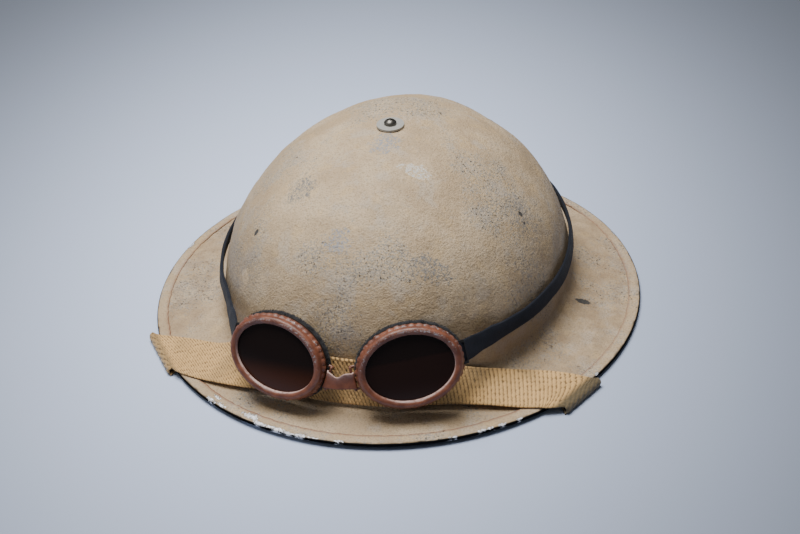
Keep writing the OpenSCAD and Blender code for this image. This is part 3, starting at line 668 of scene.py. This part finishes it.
UNDER = {-1: [[[-126, -56, 0.76], [-101, -79, 0.76]], [[-120, -36, 1.4], [-92, -46, 1.2]]],
         1: [[[124, -54, 0.76], [107, -78, 0.76]]]}
FOLD_R, FOLD_TOP, FOLD_LOW = 2.1, 4.7, 0.76
WEAVE_ROWS, WEAVE_PITCH = 14, 2.3


def fold_stations(side):
    """Half turn round the brim's edge, from the top of the fold to its underside."""
    c = np.array(FOLDS[side], float)
    along = (c[1] - c[0]) / np.linalg.norm(c[1] - c[0])
    out = np.array([-along[1], along[0]]) * side
    rows = []
    for t in np.radians([90, 67, 45, 22, 0, -22, -45, -67, -90]):
        z = (FOLD_TOP + FOLD_LOW) / 2 + (FOLD_TOP - FOLD_LOW) / 2 * math.sin(t)
        rows.append([[*(p + out * FOLD_R * (math.cos(t) - 1)), z] for p in c])
    return rows


def eye_point(x, y, z, side):
    c, s = math.cos(LUG_TURN), math.sin(LUG_TURN)
    return [side * (LUG[0] + x * c - y * s), LUG[1] + x * s + y * c, LUG[2] + z]


def eye_stations(side):
    """The strap's end, sewn round the loop's wire."""
    rows = [[eye_point(x, -LOOP_REACH + EYE_R * math.sin(t), -EYE_R * math.cos(t), side)
             for x in (13.5, -13.5)] for t in np.radians(np.arange(0, 271, 30))]
    rows += [[eye_point(x, -LOOP_REACH + y, z, side) for x in (13.5, -13.5)]
             for y, z in ((-7, 0.4), (-12, -1.1), (-22, -1.4))]
    return rows


def weave(u, v):
    """Height of the webbing's grains, 0 to 1, at u along and v across, in millimetres."""
    r = v / STRAP_W * WEAVE_ROWS
    lv = (r - np.floor(r) - 0.5) * 2
    body = np.clip(1 - lv ** 2, 0, 1) ** 0.25
    ridge = np.abs(np.cos(np.pi * (u / WEAVE_PITCH - 0.24 * v + 0.12 * lv)))
    return (0.1 + 0.9 * ridge ** 0.8) * (0.62 + 0.38 * body)


def build_strap():
    rows = eye_stations(-1)[::-1] + UNDER[-1][::-1] + fold_stations(-1)[::-1] + STRAP_FRONT
    rows += fold_stations(1) + UNDER[1] + eye_stations(1)
    mid, run = even(catmull(rows, 6), 0.33)
    cols = 100
    w = np.linspace(0, 1, cols)
    p = mid[:, :1] * (1 - w)[None, :, None] + mid[:, 1:] * w[None, :, None]
    n = grid_normals(p)
    if n[len(n) // 2, cols // 2] @ np.array([0, -1, 0.4]) < 0:
        n = -n
    flop = 0.25 * waves(p, 45, 31, 12)
    fix = np.minimum(ease(p[..., 2], 4.4, 7), 1)
    loop = ease(np.minimum(run, run[-1] - run), 42, 30)[:, None]
    p = p + n * (flop * fix * (1 - loop))[..., None]
    u = run[:, None] * np.ones(cols)
    v = w[None, :] * STRAP_W * np.ones((len(run), 1))
    h = weave(u, np.clip(v, 0, STRAP_W - 1e-6)) + 0.12 * waves(p, 3, 33, 16)
    rim = ease(np.minimum(w, 1 - w) * STRAP_W, 0, 0.9)[None, :]
    half = STRAP_T / 2 * (0.35 + 0.65 * rim) + 0.5 * (h - 0.65) * rim
    half = half * (1 - 0.45 * loop)
    upper, lower = p + n * half[..., None], p - n * half[..., None]
    rows_n = len(run)
    pts = np.concatenate([upper, lower[:, ::-1]], 1)
    pts[..., 2] = np.maximum(pts[..., 2], 0)
    faces = grid_faces(rows_n, cols * 2, close_cols=True)
    ends = [list(range(cols * 2))[::-1], [(rows_n - 1) * cols * 2 + i for i in range(cols * 2)]]
    x = pts[..., 0]
    # Darker towards the outer end of each fold: painted shade where the strap turns down over the
    # rim; the random patches added after are soil
    tip = 0 * x
    for side, reach, most in ((-1, 5, 0.5), (1, 8.5, 1.0)):
        c = np.array(FOLDS[side], float)
        along = (c[1] - c[0]) / np.linalg.norm(c[1] - c[0])
        d = (pts[..., :2] - c[0]) @ np.array([-along[1], along[0]]) * side
        tip = np.maximum(tip, most * ease(d, -reach, -0.4 * reach))
    tip = tip * ease(pts[..., 2], -0.5, 0.5)
    tip = np.maximum(tip, 0.22 * waves(pts, 30, 35, 10))
    hh = np.concatenate([h, h[:, ::-1]], 1)
    obj = mesh_object("chinstrap_webbing", pts.reshape(-1, 3), faces.tolist() + ends, WEBBING,
                      {"rib": hh.ravel(), "soil_and_fold_shade": np.clip(tip, 0, 1).ravel()})
    return obj, run[-1]


def webbing_look():
    k = Look("webbing")
    fibre = k.noise(0.55, 3, 0.7)
    tone = k.mix(k.noise(14, 3), (0.61, 0.365, 0.135), (0.78, 0.495, 0.21))
    tone = k.mix(k.ramp(fibre, 0.25, 0.7), k.mix(0.5, tone, (0.33, 0.19, 0.07)), tone)
    # Darker in the low grooves of the weave: painted shade
    tone = k.mix(k.ramp(k.value("rib"), 0.72, 0.18, 0, 0.9), tone, (0.13, 0.075, 0.025))
    # Near-black olive: painted shade at the fold ends, soil in the patches
    tone = k.mix(k.calc("MULTIPLY", k.value("soil_and_fold_shade"), 0.92), tone, (0.065, 0.052, 0.027))
    return k.set(tone, 0.92, 0, fibre, 0.12, Sheen_Weight=0.25, Sheen_Roughness=0.5)


WEBBING = webbing_look()
strap, strap_length = build_strap()
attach(strap, "helmet")
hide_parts("chinstrap")

# ---- Goggles ----

LENS_A, LENS_B = 24.6, 18.2
LEAN, SLANT = math.radians(20), math.radians(10)
EYES = {"left": ((-37.4, -123.4, 36), math.radians(-13), 1),
        "right": ((38.3, -121.6, 37.7), math.radians(16.6), -1)}
WIRE_X, WIRE_Z = LENS_A + 7.2, -4.5


def in_world(side, p):
    """Points from an eyepiece's frame (x' along the lens, y' up it, z' out of it) to the row's."""
    at, yaw, nose = EYES[side]
    p = np.asarray(p, float)
    c, s = math.cos(SLANT), -nose * math.sin(SLANT)
    x, up = p[..., 0] * c - p[..., 1] * s, p[..., 0] * s + p[..., 1] * c
    y = up * math.sin(LEAN) - p[..., 2] * math.cos(LEAN)
    z = up * math.cos(LEAN) + p[..., 2] * math.sin(LEAN)
    c, s = math.cos(yaw), math.sin(yaw)
    return np.stack([at[0] + x * c - y * s, at[1] + x * s + y * c, at[2] + z], -1)


def lens_oval(n):
    t = np.linspace(0, 2 * np.pi, n, endpoint=False)
    p = np.stack([LENS_A * np.cos(t), LENS_B * np.sin(t)], 1)
    q = np.stack([LENS_B * np.cos(t), LENS_A * np.sin(t)], 1)
    return t, p, q / np.linalg.norm(q, axis=1, keepdims=True)


def eye_ring(section, n=320, wobble=None):
    """Grid of local points, one row for each [offset, z'] of the section."""
    t, p, q = lens_oval(n)
    rows = []
    for k, (off, z) in enumerate(section):
        o = off + (wobble(k, t) if wobble else 0)
        rows.append(np.concatenate([p + q * np.broadcast_to(o, t.shape)[:, None],
                                    np.full((n, 1), float(z))], 1))
    return np.array(rows)


def arc(cx, cz, rx, rz, a0, a1, n):
    return [(cx + rx * math.cos(a), cz + rz * math.sin(a))
            for a in np.radians(np.linspace(a0, a1, n))]


def close_ring(name, side, rows, material, values=None):
    faces = grid_faces(len(rows), rows.shape[1], close_rows=True, close_cols=True, flip=True)
    return mesh_object(name, in_world(side, rows).reshape(-1, 3), faces, material, values)


def add_eye_piece(obj, side, slot, *nodes):
    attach(obj, "eyepiece_" + side)
    if nodes:
        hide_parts(*[n + "_" + side for n in nodes])


def bezel_look():
    k = Look("goggle_paint")
    tone = k.mix(k.ramp(k.noise(7, 4), 0.35, 0.65), (0.115, 0.034, 0.018), (0.205, 0.067, 0.034))
    tone = k.mix(k.ramp(k.noise(1.3, 4, 0.7), 0.45, 0.75, 0, 0.6), tone, (0.10, 0.036, 0.024))
    # Rubbed places, mostly on the crest, and more on the upper side as painted highlight
    wear_and_top_highlight = k.calc("ADD", k.noise(1.1, 5, 0.8), k.calc("MULTIPLY", k.value("crest"), 0.36))
    wear_and_top_highlight = k.calc("ADD", wear_and_top_highlight, k.calc("MULTIPLY", k.noise(8, 2), 0.34))
    pale_wear_and_highlight = k.ramp(wear_and_top_highlight, 0.92, 1.08, 0, 0.45)
    tone = k.mix(pale_wear_and_highlight, tone, (0.27, 0.19, 0.18))
    bare = k.ramp(wear_and_top_highlight, 1.05, 1.09)
    tone = k.mix(k.calc("MULTIPLY", bare, 0.9), tone, (0.44, 0.42, 0.44))
    # Pale pinkish line along the lower inner lip and the bridge's top edge: painted highlight
    painted_highlight = k.calc("MULTIPLY", k.value("painted_highlight"), k.ramp(k.noise(2.5, 3), 0.3, 0.5, 0.3, 1))
    tone = k.mix(painted_highlight, tone, (0.60, 0.42, 0.38))
    bump = k.calc("SUBTRACT", k.noise(1.2, 3), k.calc("MULTIPLY", bare, 0.6))
    rough = k.ramp(k.noise(3, 3), 0.3, 0.7, 0.36, 0.52)
    return k.set(tone, rough, k.calc("MULTIPLY", bare, 0.4), bump, 0.14)


BEZEL = bezel_look()
# Crimps round each bezel, and how far they stand out down its outer wall
CRIMPS, CRIMP_RISE = 42, (0.5, 0.95, 1.05, 0.85, 0.4)


def build_bezel(side):
    """Pressed ring: a rounded front, a crimped outer wall, and a rebate for the glass."""
    rng = np.random.default_rng(41 if side == "left" else 42)
    ph = rng.uniform(0, 2 * np.pi)
    amp = rng.uniform(0.35, 1.0, CRIMPS)
    section = arc(2.15, 0.0, 2.15, 2.2, 180, 10, 18)
    wall_at = len(section) + 1

    def crimp(k, t):
        i = np.floor((t + ph) / (2 * np.pi) * CRIMPS).astype(int) % CRIMPS
        bump = np.abs(np.sin((t + ph) * CRIMPS / 2)) ** 0.8 * amp[i]
        return CRIMP_RISE[k - wall_at] * bump if 0 <= k - wall_at < len(CRIMP_RISE) else 0
    section += [(4.15, -0.7), (4.35, -1.4), (4.65, -2.1), (4.75, -2.8), (4.75, -3.5), (4.7, -4.3),
                (4.65, -5.4), (4.0, -5.4), (3.7, -1.2), (2.0, -0.9), (0.5, -0.7)]
    rows = eye_ring(section, 640, crimp)
    sec = np.array(section)
    rows += 0.07 * waves(rows, 9, 43)[..., None] * np.array([0.5, 0.5, 1])
    t = lens_oval(640)[0]
    crest = np.exp(-((sec[:, 0] - 2.6) / 1.5) ** 2) * (sec[:, 1] > -0.4)
    crest = np.maximum(crest, 0.8 * ((sec[:, 1] < -1) & (sec[:, 1] > -3.4) & (sec[:, 0] > 4)))
    # Stronger on the upper side: painted highlight on top of the wear
    crest = crest[:, None] * (0.5 + 0.5 * ease(np.sin(t), -0.2, 0.8))[None, :]
    # Painted highlight along the inner lip, strongest on the lower side
    painted_highlight = (np.exp(-((sec[:, 0] - 0.15) / 0.3) ** 2) * (sec[:, 1] > -0.4))[:, None] * (
        0.25 + 0.75 * ease(-np.sin(t - (0.5 if side == "right" else -0.1)), 0.1, 0.7))[None, :]
    obj = close_ring("bezel_" + side, side, rows, BEZEL,
                     {"crest": crest.ravel(), "painted_highlight": painted_highlight.ravel()})
    add_eye_piece(obj, side, "goggle_paint", "goggle_rim")


def lens_look():
    k = Look("tinted_lens")
    # Nearly black glass, lighter amber towards the bottom of the left lens and below a step across
    # the right one: the glass's own tint, with the lighter parts painted in as the lit strap and
    # brim seen through it
    tone = k.mix(k.ramp(k.value("low"), 0.25, 1.0),
                 (0.011, 0.0062, 0.0055), (0.045, 0.0125, 0.0045))
    tone = k.mix(k.calc("MULTIPLY", k.value("step"), 0.5), tone, (0.026, 0.010, 0.0075))
    return k.set(tone, 0.16, 0, Specular_IOR_Level=0.28)


def build_lens(side):
    """Domed glass with a flat back, closed at its middle with a fan of triangles."""
    n, rings = 160, 18
    _, p, q = lens_oval(n)
    pts, low, step = [], [], []
    edge = p + q * 3.4
    for r in np.linspace(1, 0, rings, endpoint=False):
        xy = edge * r
        pts.append(np.concatenate([xy, np.full((n, 1), 0.2 - 0.9 * r * r)], 1))
        # low and step: the painted view of the lit strap and brim through the glass
        x, y = xy[:, 0] / LENS_A, xy[:, 1] / LENS_B
        if side == "left":
            low.append(ease(-y + 0.35 * x, -0.4, 0.9))
            step.append(0 * y)
        else:
            low.append(0.45 * ease(-y, -0.2, 0.9))
            step.append(ease(-y - 0.05 * x, -0.28, -0.22))
    front = np.array(pts)
    back = front.copy()
    back[..., 2] = -2.3
    rows = np.concatenate([front[::-1], back])
    faces = grid_faces(2 * rings, n, close_cols=True, flip=True).tolist()
    first, last = 2 * rings * n, 2 * rings * n + 1
    end = (2 * rings - 1) * n
    fan = [[first, i, (i + 1) % n] for i in range(n)]
    fan += [[last, end + (i + 1) % n, end + i] for i in range(n)]
    pts = rows.reshape(-1, 3)
    flat = pts[faces[0]]
    if np.cross(flat[1] - flat[0], flat[2] - flat[1])[2] < 0:
        faces = [f[::-1] for f in faces]
    pts = np.concatenate([pts, [[0, 0, 0.2], [0, 0, -2.3]]])
    values = {key: np.concatenate([v[::-1], v]).ravel().tolist() + [v[-1][0], v[-1][0]]
              for key, v in (("low", np.array(low)), ("step", np.array(step)))}
    obj = mesh_object("lens_glass_" + side, in_world(side, pts), faces + fan, LENS, values)
    add_eye_piece(obj, side, "tinted_lens", "lens")


LENS = lens_look()


def plush_look():
    k = Look("cushion_plush")
    tone = k.mix(k.noise(1.0, 3), (0.006, 0.006, 0.008), (0.022, 0.022, 0.026))
    return k.set(tone, 0.95, 0, k.noise(0.5, 3), 0.3, Sheen_Weight=0.15, Sheen_Roughness=0.5)


PLUSH = plush_look()
# Middle of the plush ring's section, from the lens opening and behind it, and its fibres
PLUSH_OFF, PLUSH_Z = 2.9, -8.1
FIBRES, FIBRE_HALF = 9000, 0.09


def build_plush(side):
    """Ring of plush: a lumpy body with short fibres standing on it."""
    rng = np.random.default_rng(51 if side == "left" else 52)
    section = arc(PLUSH_OFF, PLUSH_Z, 2.9, 2.0, 0, 345, 24)
    rows = eye_ring(section, 300)
    rows += 0.12 * waves(rows, 4, 53)[..., None]
    faces = grid_faces(len(rows), 300, close_rows=True, close_cols=True).tolist()
    pts = rows.reshape(-1, 3).tolist()
    s = rng.uniform(0, 2 * np.pi, FIBRES)
    t = rng.uniform(0, 2 * np.pi, FIBRES)
    base = np.stack([LENS_A * np.cos(t), LENS_B * np.sin(t)], 1)
    q = np.stack([LENS_B * np.cos(t), LENS_A * np.sin(t)], 1)
    q /= np.linalg.norm(q, axis=1, keepdims=True)
    off, z = PLUSH_OFF + 2.8 * np.cos(s), PLUSH_Z + 1.9 * np.sin(s)
    root = np.concatenate([base + q * off[:, None], z[:, None]], 1)
    way = np.concatenate([q * np.cos(s)[:, None], np.sin(s)[:, None]], 1)
    way += rng.normal(0, 0.45, (FIBRES, 3))
    way /= np.linalg.norm(way, axis=1, keepdims=True)
    side_way = np.cross(way, rng.normal(size=(FIBRES, 3)))
    side_way /= np.linalg.norm(side_way, axis=1, keepdims=True)
    length = rng.uniform(0.5, 1.15, FIBRES)[:, None]
    half = side_way * FIBRE_HALF
    tri = np.stack([root - half, root + half, root + way * length], 1)
    start = len(pts)
    pts += tri.reshape(-1, 3).tolist()
    faces += [[start + 3 * i, start + 3 * i + 1, start + 3 * i + 2] for i in range(FIBRES)]
    obj = mesh_object("face_plush_" + side, in_world(side, pts), faces, PLUSH)
    add_eye_piece(obj, side, "cushion_plush", "face_cushion")


for eye in EYES:
    build_bezel(eye)
    build_lens(eye)
    build_plush(eye)


BRIDGE_Y = (-5, 5)


def build_bridge():
    """Saddle-shaped strip from one bezel to the other, its ends rolled round the bridge wires."""
    def at_wire(s, x, z, ys):
        return np.array([in_world(s, [EYES[s][2] * x, y, z]) for y in ys])
    m = 14
    stops = np.array([at_wire("left", WIRE_X - 1.1, -3.5, BRIDGE_Y),
                      at_wire("left", WIRE_X + 0.6, -2.7, BRIDGE_Y),
                      at_wire("right", WIRE_X + 0.6, -2.7, BRIDGE_Y),
                      at_wire("right", WIRE_X - 1.1, -3.5, BRIDGE_Y)])
    stops, _ = even(catmull(stops.tolist(), 16), 0.35)
    n = len(stops)
    front = []
    for i, t in enumerate(np.linspace(0, 1, n)):
        e = stops[i]
        dip = math.exp(-((t - 0.42) / 0.2) ** 2)
        low = e[0] + (e[1] - e[0]) * 0.04 * math.sin(math.pi * t)
        high = e[1] - (e[1] - e[0]) * (0.27 * dip + 0.10 * ease(np.array(t), 0.5, 1))
        row = np.array([low * (1 - w) + high * w for w in np.linspace(0, 1, m)])
        row[:, 1] -= 1.2 * math.sin(math.pi * t)
        front.append(row)
    front = np.array(front)
    nrm = grid_normals(front)
    if nrm[n // 2, m // 2][1] > 0:
        nrm = -nrm
    flute = 0.3 * np.sin(np.linspace(0, np.pi, m))[None, :, None]
    front = front - nrm * flute
    a, b = front + nrm * 0.5, front - nrm * 0.5
    rows = np.concatenate([a, b[:, ::-1]], 1)
    faces = grid_faces(n, 2 * m, close_cols=True).tolist()
    faces += [list(range(2 * m))[::-1], [(n - 1) * 2 * m + i for i in range(2 * m)]]
    crest = np.concatenate([np.linspace(0, 1, m) ** 8, np.linspace(1, 0, m) ** 8])
    pts = rows.reshape(-1, 3).tolist()
    # Painted highlight along the strip's top edge
    painted_highlight = (np.tile(crest, n) * 0.7).tolist()
    for s in EYES:
        start, k = len(pts), 28
        c0, c1 = at_wire(s, WIRE_X, WIRE_Z, BRIDGE_Y)
        axis = (c1 - c0) / np.linalg.norm(c1 - c0)
        u = np.cross(axis, [0, 1, 0.1])
        u /= np.linalg.norm(u)
        v = np.cross(axis, u)
        for r, h in ((0.9, 0.4), (1.3, 0.4), (1.5, 0.6), (1.5, 7.4), (1.3, 7.6), (0.9, 7.6)):
            for th in np.linspace(0, 2 * np.pi, k, endpoint=False):
                pts.append((c0 + axis * h + (u * math.cos(th) + v * math.sin(th)) * r).tolist())
        faces += (grid_faces(6, k, close_rows=True, close_cols=True) + start).tolist()
        painted_highlight += [0.0] * (6 * k)
    obj = mesh_object("nose_bridge_strip", pts, faces, BEZEL,
                      {"painted_highlight": painted_highlight, "crest": [0.2] * len(pts)})
    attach(obj, "goggles")
    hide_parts("nose_bridge")


build_bridge()

# ---- Headband ----

BAND_STAND = 1.5 + 1.2
HEADBAND_H, HEADBAND_T = 9.0, 2.2
# Width declared for the cut band, in metres: the least that a sheet may have
LINES = {
    "left": [(216, 34), (204, 34), (190, 34), (176, 34.5), (160, 35.5), (144, 36.5), (128, 37.5),
             (112, 38), (102, 38)],
    "right": [(-37, 35), (-26, 34.5), (-12, 34), (2, 34), (18, 35), (34, 36), (50, 37), (66, 38),
              (78, 38)]}
SLIDER_LEAN, SLIDER_Z = math.radians(12), 38.0


def profile_angle(z):
    return math.asin(((z - WALL_Z) / (CROWN_Z - WALL_Z)) ** (1 / FULL_Z))


def on_dome(angle, z, off):
    return dome_ring(profile_angle(z), np.array([math.radians(angle)]), off)[0]


def band_rows(side):
    """Stations of [lower edge, upper edge] from the eyepiece's slot to the slider."""
    s = EYES[side][2]
    out = -s
    rows = [[in_world(side, [out * x, y, z]) for y in (-h, h)]
            for x, z, h in ((LENS_A + 3, -5.2, 5.8), (LENS_A + 6.5, -7.6, 6.0),
                            (LENS_A + 9.5, -11.0, 5.8))]
    for a, z in LINES[side]:
        rows.append([on_dome(a, z + e * HEADBAND_H / 2, BAND_STAND) for e in (-1, 1)])
    y = DOME_Y + DOME_B * math.cos(profile_angle(SLIDER_Z)) + BAND_STAND
    for x in (15, 8, 0.5):
        rows.append([np.array([-s * x, y, SLIDER_Z]) + e * HEADBAND_H / 2 * np.array(
            [0, -math.sin(SLIDER_LEAN), math.cos(SLIDER_LEAN)]) for e in (-1, 1)])
    return rows


def build_headband(side):
    mid, run = even(catmull(band_rows(side), 8), 0.8)
    across = mid[:, 1] - mid[:, 0]
    wide = np.linalg.norm(across, axis=1, keepdims=True)
    across /= wide
    c = mid.mean(1)
    ahead = np.gradient(c, axis=0)
    n = np.cross(across, ahead)
    n /= np.linalg.norm(n, axis=1, keepdims=True)
    loop = ease(run, 34, 18)
    thick = HEADBAND_T * (1 - 0.35 * loop)
    k = 40
    ring = []
    for a in np.linspace(0, 2 * np.pi, k, endpoint=False):
        ca, sa = math.cos(a), math.sin(a)
        x = math.copysign(abs(ca) ** 0.55, ca)
        y = math.copysign(abs(sa) ** 0.7, sa)
        ring.append(c + across * (wide / 2 * x) + n * (thick[:, None] / 2 * y))
    pts = np.stack(ring, 1)
    cord_lines = np.cos(np.linspace(0, 2 * np.pi, k, endpoint=False) * 9) * 0.06
    crease = 0.22 * waves(pts, 14, 61 if side == "left" else 62) * ease(run, 75, 25)[:, None]
    soft = 0.10 * waves(pts, 20, 63)
    d = pts - c[:, None]
    d /= np.maximum(np.linalg.norm(d, axis=-1, keepdims=True), 1e-9)
    pts = pts + d * (cord_lines[None, :] + crease + soft)[..., None]
    faces = grid_faces(len(pts), k, close_cols=True).tolist()
    faces += [list(range(k))[::-1], [(len(pts) - 1) * k + i for i in range(k)]]
    obj = mesh_object("headband_elastic_" + side, pts.reshape(-1, 3), faces, ELASTIC)
    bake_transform(obj)
    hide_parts("headband_" + side)


def elastic_look():
    k = Look("elastic")
    tone = k.mix(k.noise(5, 3), (0.0045, 0.006, 0.011), (0.013, 0.016, 0.027))
    return k.set(tone, 0.85, 0, k.noise(0.7, 3), 0.25, Sheen_Weight=0.04,
                 Sheen_Roughness=0.5, Specular_IOR_Level=0.25)


ELASTIC = elastic_look()
for eye in EYES:
    build_headband(eye)

# ---- Floor, light ----


def build_stage():
    me = bpy.data.meshes.new("floor")
    size = 3.0
    me.from_pydata([(-size, -size, 0), (size, -size, 0), (size, size, 0), (-size, size, 0)], [],
                   [(0, 1, 2, 3)])
    k = Look("seamless")
    # Painted light fall-off: bright round FLOOR_BRIGHT, darker away from it
    off = k.math3("SUBTRACT", k.position(), tuple(v * MM for v in FLOOR_BRIGHT))
    reach = [k.calc("POWER", k.math3("DOT_PRODUCT", off, way), 2.0) for way in FLOOR_FALL]
    painted_falloff = k.calc("EXPONENT", k.calc("MULTIPLY", k.calc("ADD", *reach), -1.0))
    tone = k.mix(painted_falloff, (0.07, 0.079, 0.098), (0.64, 0.745, 1.0))
    me.materials.append(k.set(tone, 0.9))
    floor = bpy.data.objects.new("floor", me)
    SCENE.collection.objects.link(floor)
    world = bpy.data.worlds.new("world")
    world.use_nodes = True
    world.node_tree.nodes["Background"].inputs[0].default_value = (0.90, 0.94, 1.0, 1)
    world.node_tree.nodes["Background"].inputs[1].default_value = 0.14
    SCENE.world = world


# Middle of the bright part of the floor's painted light fall-off, and that fall-off along two
# directions, per metre
FLOOR_BRIGHT = (-47, 34, 0)
FLOOR_FALL = ((4.0, 0.88, 0), (-0.58, 2.64, 0))


def area_light(name, at, aim, size, power, color=(1, 1, 1), size_y=None):
    data = bpy.data.lights.new(name, "AREA")
    data.shape = "RECTANGLE"
    data.size, data.size_y = size, size_y or size
    data.energy = power
    data.color = color
    obj = bpy.data.objects.new(name, data)
    way = Vector(aim) - Vector(at)
    obj.matrix_world = Matrix.Translation(at) @ way.to_track_quat("-Z", "Y").to_matrix().to_4x4()
    SCENE.collection.objects.link(obj)


build_stage()
area_light("key", (-0.24, 0.06, 1.40), (0, 0, 0.02), 0.9, 37, (1, 0.985, 0.95))
area_light("fill", (-1.2, -0.6, 0.8), (0, 0, 0.03), 1.0, 2, (0.95, 0.97, 1))
